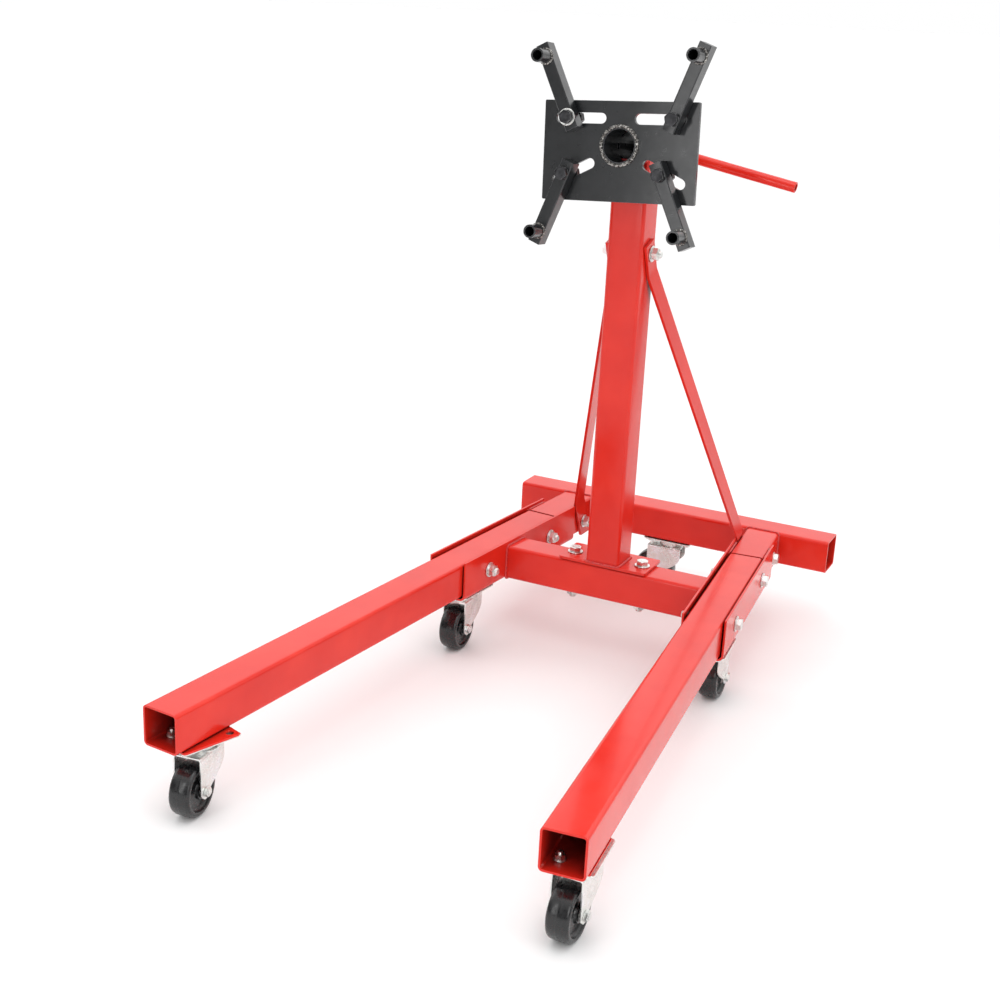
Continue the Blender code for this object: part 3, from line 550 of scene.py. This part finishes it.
def weld_bead(path, radius, closed=False, scale_pitch=2.8):
    """A bead along a path, in millimetres, whose girth swells with each overlapping scale."""
    spacing = 0.7
    sides = 8
    points = evenly(path, spacing, closed)
    bm = bmesh.new()
    loops = []
    count = len(points)
    for index, point in enumerate(points):
        before = points[index - 1] if closed or index else point
        after = points[(index + 1) % count] if closed or index < count - 1 else point
        heading = (after - before).normalized()
        lean = UP if abs(heading.z) < 0.9 else Vector((1.0, 0.0, 0.0))
        side = heading.cross(lean).normalized()
        other = side.cross(heading)
        along = index * spacing
        scale = abs(math.sin(math.pi * along / scale_pitch))
        wander = 0.05 * math.sin(along * 0.37) + 0.04 * math.sin(along * 0.83 + 1.0)
        girth = radius * (0.84 + 0.18 * scale + wander)
        if not closed:
            end = min(index, count - 1 - index) * spacing
            girth *= min(1.0, 0.35 + 0.65 * end / (1.5 * radius))
        loop = []
        for step in range(sides):
            angle = 2 * math.pi * step / sides
            loop.append(bm.verts.new(point + (side * math.cos(angle) + other * math.sin(angle)) * girth))
        loops.append(loop)
    for first, second in zip(loops, loops[1:]):
        bridge(bm, first, second)
    if closed:
        bridge(bm, loops[-1], loops[0])
    else:
        bm.faces.new(loops[0])
        bm.faces.new(loops[-1])
    return bm


def add_piece(name, bm, body, material, place=None, smooth=SMOOTH_ANGLE):
    """A new piece from a bmesh in millimetres, placed by a matrix whose lengths are metres."""
    bmesh.ops.recalc_face_normals(bm, faces=bm.faces)
    if bm.calc_volume(signed=True) < 0:
        bmesh.ops.reverse_faces(bm, faces=bm.faces)
    bm.transform(Matrix.Scale(MM, 4))
    if place is not None:
        bm.transform(place)
    mesh = bpy.data.meshes.new(name)
    bm.to_mesh(mesh)
    bm.free()
    for polygon in mesh.polygons:
        polygon.use_smooth = True
    mesh.set_sharp_from_angle(angle=smooth)
    mesh.materials.append(material)
    piece = bpy.data.objects.new(name, mesh)
    bpy.context.scene.collection.objects.link(piece)
    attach(piece, body)
    return piece


def frame_matrix(origin, x_axis, y_axis, z_axis):
    """A matrix from three unit axes and an origin in metres."""
    turn = Matrix((x_axis, y_axis, z_axis)).transposed()
    return Matrix.Translation(origin) @ turn.to_4x4()


def span(node, axis):
    """The lowest and highest of a node's points along an axis, in metres."""
    reaches = [vertex.co.dot(axis) for vertex in nodes[node].data.vertices]
    return min(reaches), max(reaches)


# ---------------------------------------------------------------- carried-over pieces


def smooth_and_round(node, width):
    """Joins the imported mesh's split points and rounds its sharp edges a little."""
    piece = nodes[node]
    mesh = piece.data
    if mesh.has_custom_normals:
        with bpy.context.temp_override(object=piece, active_object=piece, selected_objects=[piece]):
            bpy.context.view_layer.objects.active = piece
            bpy.ops.mesh.customdata_custom_splitnormals_clear()
    for polygon in mesh.polygons:
        polygon.use_smooth = True
    join = piece.modifiers.new("join_points", "WELD")
    join.merge_threshold = 0.00001
    rounding = piece.modifiers.new("round_edges", "BEVEL")
    rounding.limit_method = "ANGLE"
    rounding.angle_limit = BEVEL_ANGLE
    rounding.width = width * MM
    rounding.segments = 2
    rounding.harden_normals = False
    weighted = piece.modifiers.new("flat_faces", "WEIGHTED_NORMAL")
    weighted.keep_sharp = False


RED_NODES = (
    "rear_crossbar", "front_crossbar", "base_plate", "post", "head_sleeve", "handle",
    "stub_", "channel_", "leg_left", "leg_right", "caster_plate_", "brace_left", "brace_right",
)
BLACK_NODES = ("head_plate", "head_tube", "arm_upper", "arm_lower", "standoff_")


def paint_carried_nodes(looks):
    for node in nodes:
        if node.startswith(RED_NODES):
            look = looks["red"]
        elif node.startswith(BLACK_NODES):
            look = looks["black"]
        else:
            look = looks["zinc"]
        nodes[node].data.materials.clear()
        nodes[node].data.materials.append(look)
        smooth_and_round(node, EDGE_ROUND)


# ---------------------------------------------------------------- fasteners


def ring_of(radius, height, count=RING_POINTS):
    return [(radius, height)] * count


def hex_rings(radius, low, high, chamfer_low, chamfer_high):
    """The rings of a hexagonal head or nut with its corners cut back by a cone at either end."""
    reaches = hexagon(radius)
    inner = radius * math.cos(math.radians(30)) * 0.96
    rings = []
    if chamfer_low:
        rings.append(ring_of(inner, low))
        rings.append([(reach, low + (reach - inner) * CHAMFER_SLOPE) for reach in reaches])
    else:
        rings.append([(reach, low) for reach in reaches])
    if chamfer_high:
        rings.append([(reach, high - (reach - inner) * CHAMFER_SLOPE) for reach in reaches])
        rings.append(ring_of(inner, high))
    else:
        rings.append([(reach, high) for reach in reaches])
    return rings


def washer_rings(radius, low, high):
    edge = 0.3
    under = [ring_of(radius - edge, low), ring_of(radius, low + edge)]
    return under + [ring_of(radius, high - edge), ring_of(radius - edge, high)]


def thread_rings(radius, low, high):
    """Crests and roots from the bolt's cut end up to the nut."""
    rings = [ring_of(radius - 2 * THREAD_DEPTH, low), ring_of(radius - THREAD_DEPTH, low + THREAD_LEAD)]
    height = low + THREAD_LEAD
    while height + THREAD_PITCH <= high:
        rings.append(ring_of(radius, height + THREAD_PITCH / 2))
        rings.append(ring_of(radius - THREAD_DEPTH, height + THREAD_PITCH))
        height += THREAD_PITCH
    return rings


def through_bolt(grip, washer_r):
    """A bolt, two washers and a nut about Z. The head bears at z = 0 and the nut at z = -grip."""
    nut_top = -grip - WASHER_THICK
    nut_bottom = nut_top - NUT_HEIGHT
    rings = thread_rings(SHANK_R, nut_bottom - THREAD_TIP, nut_bottom)
    rings += hex_rings(HEX_R, nut_bottom, nut_top, True, True)
    rings += washer_rings(washer_r, nut_top, -grip)
    rings += [ring_of(SHANK_R, -grip), ring_of(SHANK_R, 0.0)]
    rings += washer_rings(washer_r, 0.0, WASHER_THICK)
    rings += [ring_of(HEX_R * 0.80, WASHER_THICK), ring_of(HEX_R * 0.80, WASHER_THICK + HEAD_SEAT)]
    rings += hex_rings(HEX_R, WASHER_THICK + HEAD_SEAT, WASHER_THICK + HEX_HEIGHT, False, True)
    rings.append(ring_of(HEX_R * 0.62, WASHER_THICK + HEX_HEIGHT - 0.25))
    return turned_stack(rings)


def add_bolt(node, axis, washer_r, material):
    """A detailed bolt in a CAD bolt's place. The axis points out of its head."""
    side = axis.orthogonal().normalized()
    other = axis.cross(side)
    low, high = span(node, axis)
    head_bears = high - (WASHER_THICK + HEX_HEIGHT) * MM
    nut_bears = low + (THREAD_TIP + NUT_HEIGHT + WASHER_THICK) * MM
    origin = axis * head_bears
    for across in (side, other):
        near, far = span(node, across)
        origin += across * (near + far) / 2
    bm = through_bolt((head_bears - nut_bears) / MM, washer_r)
    place = frame_matrix(origin, side, other, axis)
    piece = add_piece(node + "_threaded", bm, body_of_node[node], material, place)
    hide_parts(node)


def add_loose_washer(looks, forward):
    """The one bright washer among the arms' black bolts, under the head on the upper left arm."""
    node = "arm_bolt_upper_left"
    side = forward.orthogonal().normalized()
    other = forward.cross(side)
    origin = forward * (span(node, forward)[1] - (WASHER_THICK + HEX_HEIGHT) * MM)
    for across in (side, other):
        near, far = span(node, across)
        origin += across * (near + far) / 2
    profile = [(10.1, 0.1), (12.6, 0.1), (12.9, 0.4), (12.9, 1.6), (12.6, 1.9), (10.1, 1.9)]
    place = frame_matrix(origin, side, other, forward)
    washer = turned_ring(profile, 48)
    add_piece("arm_washer_upper_left", washer, body_of_node[node], looks["zinc"], place)


def add_frame_bolts(looks):
    zinc = looks["zinc"]
    for word, sign in (("left", -1.0), ("right", 1.0)):
        outward = Vector(joints[word + "_leg_fold"]["axis"])
        if outward.x * sign < 0:
            outward = -outward
        for node in ("leg_pivot_bolt_", "leg_lock_bolt_"):
            add_bolt(node + word, outward, FRAME_WASHER_R, zinc)
        add_bolt("brace_lower_bolt_" + word, outward, BRACE_WASHER_R, zinc)
        add_bolt("base_bolt_" + word, UP, FRAME_WASHER_R, zinc)
    add_bolt("brace_top_bolt", Vector((-1.0, 0.0, 0.0)), FRAME_WASHER_R, zinc)


# ---------------------------------------------------------------- sides of the frame


def side_frame(word):
    """A side's own frame: its origin on the leg's pivot, Y to the rear along the leg, X to the right."""
    joint = joints[word + "_leg_fold"]
    sign = -1.0 if word == "left" else 1.0
    outward = Vector(joint["axis"])
    if outward.x * sign < 0:
        outward = -outward
    rearward = Vector((-outward.y, outward.x, 0.0)) * sign
    return frame_matrix(Vector(joint["pos_m"]), outward * sign, rearward, UP)


def square_bead(name, centre, across, up, width, height, body, look):
    """A weld all round a square tube's end."""
    path = []
    for a, b in rounded_loop(width, height, TUBE_CORNER):
        path.append(centre + across * a + up * b)
    add_piece(name, weld_bead(path, BEAD, True), body, look)


def straight_bead(name, start, end, radius, body, look, place=None):
    add_piece(name, weld_bead([Vector(start), Vector(end)], radius), body, look, place)


def add_side_welds(looks, word):
    weld = looks["painted_weld"]
    place = side_frame(word)
    sign = -1.0 if word == "left" else 1.0
    rearward = place.to_3x3() @ Vector((0.0, 1.0, 0.0))
    across = Vector((1.0, 0.0, 0.0))
    face_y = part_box("rear_crossbar")[0].y
    anchor = Vector(joints[word + "_leg_fold"]["pos_m"])
    reach = (face_y - anchor.y) / rearward.y
    centre = (anchor + rearward * reach) / MM
    stretch = 1.0 / rearward.y
    square_bead(
        "stub_weld_" + word, centre + Vector((0.0, -0.6, 0.0)), across, UP, TUBE * stretch + 1.0, TUBE + 1.0,
        "stand_frame", weld,
    )
    # seams between the channel's top edges and the stub, and up its rear end
    channel_high = span("channel_" + word, rearward)[1]
    here = anchor.dot(rearward)
    rear = (channel_high - here) / MM
    joint_end = rear - (STUB_END_S - CHANNEL_START_S)
    seam_z = SEAM_Z - anchor.z / MM
    foot_z = CHANNEL_FOOT_Z - anchor.z / MM
    for side in (-1.0, 1.0):
        tag = word + ("_inner" if side * sign < 0 else "_outer")
        seam_x = side * (TUBE / 2 + 1.0)
        start = (seam_x, joint_end + 4.0, seam_z)
        end = (seam_x, rear - 4.0, seam_z)
        straight_bead("channel_seam_" + tag, start, end, SEAM_BEAD, "stand_frame", weld, place)
        end_x = side * (TUBE / 2 + 1.2)
        start = (end_x, rear + 0.4, foot_z)
        end = (end_x, rear + 0.4, seam_z - 3.0)
        straight_bead("channel_end_weld_" + tag, start, end, HEAVY_BEAD, "stand_frame", weld, place)


def add_crossbar_welds(looks):
    """Welds round both ends of the front crossbar, in the plane of each channel's inner side."""
    weld = looks["painted_weld"]
    low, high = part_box("front_crossbar")
    middle_y = (low.y + high.y) / 2
    middle_z = (low.z + high.z) / 2
    for word, sign in (("left", -1.0), ("right", 1.0)):
        place = side_frame(word)
        rearward = place.to_3x3() @ Vector((0.0, 1.0, 0.0))
        origin = Vector(joints[word + "_leg_fold"]["pos_m"])
        inward = -(place.to_3x3() @ Vector((sign, 0.0, 0.0)))
        face = origin + inward * (CHANNEL_HALF + 0.5) * MM
        along = (middle_y - face.y) / rearward.y
        centre = (face + rearward * along) / MM
        centre.z = middle_z / MM
        width = TUBE / rearward.y + 1.0
        square_bead("crossbar_weld_" + word, centre, rearward, UP, width, TUBE + 1.0, "stand_frame", weld)


def add_post_welds(looks):
    weld = looks["painted_weld"]
    low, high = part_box("post")
    plate_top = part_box("base_plate")[1].z
    centre = Vector(((low.x + high.x) / 2, (low.y + high.y) / 2, plate_top)) / MM
    square_bead("post_foot_weld", centre + UP * 1.0, Vector((1.0, 0.0, 0.0)), Vector((0.0, 1.0, 0.0)),
                TUBE + 2.0, TUBE + 2.0, "stand_frame", weld)
    # the saddle at the post's top
    turn = joints["head_turn"]
    head = Vector(turn["pos_m"]) / MM
    axis = Vector(turn["axis"])
    path = []
    for a, b in rounded_loop(TUBE + 1.0, TUBE + 1.0, TUBE_CORNER, 10):
        for_x = min(abs(a), SLEEVE_R)
        drop = math.sqrt(max((SLEEVE_R + 0.5) ** 2 - for_x ** 2, 0.0)) / abs(axis.y)
        y = centre.y + b
        lift = (y - head.y) * axis.z / axis.y
        path.append(Vector((centre.x + a, y, head.z + lift - drop)))
    bead = weld_bead(evenly(path, 2.0, True), HEAVY_BEAD, True)
    add_piece("sleeve_weld", bead, "stand_frame", weld)


# ---------------------------------------------------------------- head


def add_head_details(looks):
    turn = joints["head_turn"]
    axis = Vector(turn["axis"])
    forward = axis if axis.y < 0 else -axis
    sideways = Vector(joints["upper_right_arm_slide"]["axis"])
    upright = sideways.cross(forward) * -1.0
    mouth = Vector(turn["pos_m"])
    ring = [Vector((a, b, 0.2)) for a, b in circle(RING_WELD_R, 64)]
    place = frame_matrix(mouth, sideways, upright, sideways.cross(upright))
    bead = weld_bead(ring, RING_BEAD, True, 6.0)
    add_piece("tube_ring_weld", bead, "turning_head", looks["bare_weld"], place)
    for corner in ("upper_left", "upper_right", "lower_right", "lower_left"):
        name = "standoff_" + corner
        centre = forward * span(name, forward)[0]
        for across in (sideways, upright):
            near, far = span(name, across)
            centre += across * (near + far) / 2
        loop = [Vector((a, b, 0.0)) for a, b in circle(STANDOFF_R + 0.3, 40)]
        spot = frame_matrix(centre + forward * 0.0004, sideways, upright, sideways.cross(upright))
        bead = weld_bead(loop, STANDOFF_BEAD, True, 3.6)
        look = looks["bare_weld"]
        add_piece("standoff_weld_" + corner, bead, "arm_" + corner, look, spot)
        add_bolt("arm_bolt_" + corner, forward, ARM_WASHER_R, looks["black_oxide"])
    add_loose_washer(looks, forward)


# ---------------------------------------------------------------- casters


def wheel_profile():
    """A crowned tread with a fine parting line, and faces dished between a hub and a rim."""
    half = [
        (WHEEL_BORE, 15.7), (5.8, WHEEL_HALF), (11.2, WHEEL_HALF), (12.0, 15.4), (12.4, 12.9), (13.2, 11.2),
        (15.0, 10.4), (20.0, 9.8), (26.0, 9.6), (28.6, 10.0), (29.8, 11.1), (30.4, 13.7), (30.9, 15.0),
        (31.8, 15.5), (35.2, 15.5), (36.6, 14.7), (37.6, 13.2), (38.3, 10.6), (38.7, 7.0), (38.95, 2.4),
        (38.95, 0.45), (WHEEL_R, 0.3),
    ]
    return half + [(radius, -height) for radius, height in half[::-1]]


def fork_bmesh():
    """A pressed fork: a deck that bends down into two cheeks, which narrow to rounded ends at the axle."""
    low_z = AXLE_Z - 11.6
    path = []
    for step in range(25):
        share = step / 24
        path.append((FORK_HALF, low_z + (FORK_TOP_Z - FORK_BEND - low_z) * share ** 0.7))
    for step in range(1, 7):
        angle = QUARTER * step / 6
        across = FORK_HALF - FORK_BEND + FORK_BEND * math.cos(angle)
        path.append((across, FORK_TOP_Z - FORK_BEND + FORK_BEND * math.sin(angle)))
    path += [(-y, z) for y, z in path[::-1]]

    def limits(z):
        """How far the sheet reaches fore and aft at a height."""
        end_r = CHEEK_END_R
        if z < AXLE_Z:
            reach = math.sqrt(max(end_r ** 2 - (AXLE_Z - z) ** 2, 0.0))
            return TRAIL - reach, TRAIL + reach
        share = min((z - AXLE_Z) / (CHEEK_NECK_Z - AXLE_Z), 1.0)
        eased = math.sin(QUARTER * share)
        rear = TRAIL - end_r + (CHEEK_REAR - TRAIL + end_r) * eased
        return rear, TRAIL + end_r

    bm = bmesh.new()
    columns = 7
    sheets = []
    for inset in (0.0, FORK_WALL):
        rows = []
        for index, (y, z) in enumerate(path):
            before = Vector(path[max(index - 1, 0)])
            after = Vector(path[min(index + 1, len(path) - 1)])
            run = (after - before).normalized()
            normal = Vector((run.y, -run.x))
            spot = Vector((y, z)) - normal * inset
            rear, front = limits(z)
            row = []
            for column in range(columns):
                x = rear + (front - rear) * column / (columns - 1)
                row.append(bm.verts.new((x, spot.x, spot.y)))
            rows.append(row)
        sheets.append(rows)
    for rows in sheets:
        for first, second in zip(rows, rows[1:]):
            for column in range(columns - 1):
                bm.faces.new((first[column], first[column + 1], second[column + 1], second[column]))
    outer, inner = sheets
    for column in (0, columns - 1):
        for index in range(len(path) - 1):
            after = index + 1
            corners = (outer[index][column], outer[after][column], inner[after][column], inner[index][column])
            bm.faces.new(corners)
    for row in (0, len(path) - 1):
        for column in range(columns - 1):
            after = column + 1
            bm.faces.new((outer[row][column], outer[row][after], inner[row][after], inner[row][column]))
    return bm


def caster_frame(name):
    """A caster's frame: its origin on the floor under the swivel and X toward the axle."""
    swivel = Vector(joints[name + "_swivel"]["pos_m"])
    axle = Vector(joints[name + "_roll"]["pos_m"])
    toward = Vector((axle.x - swivel.x, axle.y - swivel.y, 0.0)).normalized()
    return frame_matrix(Vector((swivel.x, swivel.y, 0.0)), toward, UP.cross(toward), UP)


def small_bolt_rings(under, head):
    """A small hex head on a washer, below a plate whose underside is z = 0."""
    rings = [ring_of(CASTER_HEX_R * 0.6, -head - CASTER_WASHER)]
    rings += hex_rings(CASTER_HEX_R, -head - 1.2, -CASTER_WASHER, True, False)
    rings += washer_rings(CASTER_HEX_R + 1.6, -CASTER_WASHER, under)
    return rings


def caster_axes(name):
    """The directions along a caster plate's long and short sides."""
    if name.startswith("rear"):
        return Vector((1.0, 0.0, 0.0)), Vector((0.0, 1.0, 0.0))
    word = name.rsplit("_", 1)[1]
    turn = side_frame(word).to_3x3()
    along = turn @ Vector((0.0, 1.0, 0.0))
    if name == "front_caster_left":
        along = Matrix.Rotation(LEFT_PLATE_TURN, 3, "Z") @ along
    return along, UP.cross(along) * -1.0


def add_caster(looks, name):
    zinc = looks["zinc"]
    place = caster_frame(name)
    lift = Matrix.Translation(Vector((TRAIL, 0.0, AXLE_Z)) * MM)
    lay = Matrix.Rotation(QUARTER, 4, "X")
    tyre = turned_ring(wheel_profile(), 88)
    on_axle = place @ lift @ lay
    plastic = looks["plastic"]
    wheel = add_piece(name + "_moulded_wheel", tyre, name + "_wheel", plastic, on_axle)
    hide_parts(name + "_wheel")

    fork = add_piece(name + "_pressed_fork", fork_bmesh(), name + "_fork", zinc, place)
    rounding = fork.modifiers.new("round_edges", "BEVEL")
    rounding.limit_method = "ANGLE"
    rounding.angle_limit = BEVEL_ANGLE
    rounding.width = EDGE_ROUND * MM
    rounding.segments = 2
    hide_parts(name + "_fork")

    dish = [(6.0, 88.9), (19.0, 88.9), (22.6, 89.6), (24.0, 91.0)]
    dish += [(24.0, 92.3), (22.8, 92.75), (21.0, 92.75), (6.0, 92.75)]
    add_piece(name + "_lower_race", turned_ring(dish, 56), name + "_fork", zinc, place)

    # axle with a hex head and nut
    face = FORK_HALF + 0.3
    rings = [ring_of(3.2, -face - 6.5), ring_of(AXLE_END_R, -face - 6.1)]
    rings.append(ring_of(AXLE_END_R, -face - AXLE_HEX_HEIGHT))
    rings += hex_rings(AXLE_HEX_R, -face - AXLE_HEX_HEIGHT, -face, True, False)
    rings += [ring_of(AXLE_R, -face), ring_of(AXLE_R, face)]
    rings += hex_rings(AXLE_HEX_R, face, face + AXLE_HEX_HEIGHT, False, True)
    axle = add_piece(name + "_hex_axle", turned_stack(rings), name + "_fork", zinc, on_axle)
    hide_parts(name + "_axle")

    # bolts that hold the top plate
    along, across = caster_axes(name)
    plate_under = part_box(name + "_top_plate")[1].z - TOP_PLATE_THICK * MM
    swivel = Vector(joints[name + "_swivel"]["pos_m"])
    body = body_of_node[name + "_top_plate"]
    for index, (a, b) in enumerate(((-1, -1), (-1, 1), (1, 1), (1, -1))):
        offset = (along * a * CASTER_BOLT[0] + across * b * CASTER_BOLT[1]) * MM
        spot = Vector((swivel.x, swivel.y, plate_under)) + offset
        bolt = turned_stack(small_bolt_rings(0.0, CASTER_HEAD))
        add_piece(name + "_plate_bolt_" + str(index + 1), bolt, body, zinc,
                  Matrix.Translation(spot) @ Matrix.Rotation(0.4 + index, 4, "Z"))


def add_leg_nuts(looks, word):
    """Nuts inside the leg's end, on each of the caster's bolts that stands clear of the side walls."""
    name = "front_caster_" + word
    along, across = caster_axes(name)
    floor_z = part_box("leg_" + word)[0].z + TUBE_WALL * MM
    swivel = Vector(joints[name + "_swivel"]["pos_m"])
    place = side_frame(word)
    for a, b in ((-1, -1), (-1, 1), (1, 1), (1, -1)):
        offset = (along * a * CASTER_BOLT[0] + across * b * CASTER_BOLT[1]) * MM
        spot = Vector((swivel.x, swivel.y, floor_z)) + offset
        inside = place.inverted() @ spot
        if abs(inside.x) > (TUBE / 2 - TUBE_WALL - CASTER_HEX_R - 1.0) * MM:
            continue
        rings = washer_rings(CASTER_HEX_R + 1.0, 0.1, LEG_NUT_FOOT)
        rings += hex_rings(CASTER_HEX_R, LEG_NUT_FOOT, LEG_NUT_TOP, False, True)
        rings.append(ring_of(3.6, LEG_NUT_TOP))
        rings += [ring_of(3.9 - 0.4 * (step % 2), LEG_NUT_TOP + 0.6 * step) for step in range(1, 7)]
        rings.append(ring_of(3.0, 12.2))
        tag = ("rear" if a > 0 else "front") + ("_a" if b > 0 else "_b")
        nut = turned_stack(rings)
        at = Matrix.Translation(spot)
        add_piece("leg_nut_" + word + "_" + tag, nut, word + "_leg", looks["zinc"], at)


# ---------------------------------------------------------------- the whole


def build_looks():
    return {
        "red": make_red_paint(),
        "black": make_black_paint(),
        "zinc": make_zinc(),
        "black_oxide": make_black_oxide(),
        "plastic": make_black_plastic(),
        "painted_weld": make_painted_weld(),
        "bare_weld": make_bare_weld(),
    }


add_camera()
add_studio()
add_floor()
looks = build_looks()
paint_carried_nodes(looks)
add_frame_bolts(looks)
for side_word in ("left", "right"):
    add_side_welds(looks, side_word)
    add_leg_nuts(looks, side_word)
add_crossbar_welds(looks)
add_post_welds(looks)
add_head_details(looks)
for side_word in ("left", "right"):
    add_caster(looks, "front_caster_" + side_word)
for side_word in ("left", "right"):
    add_caster(looks, "middle_caster_" + side_word)
add_caster(looks, "rear_caster")
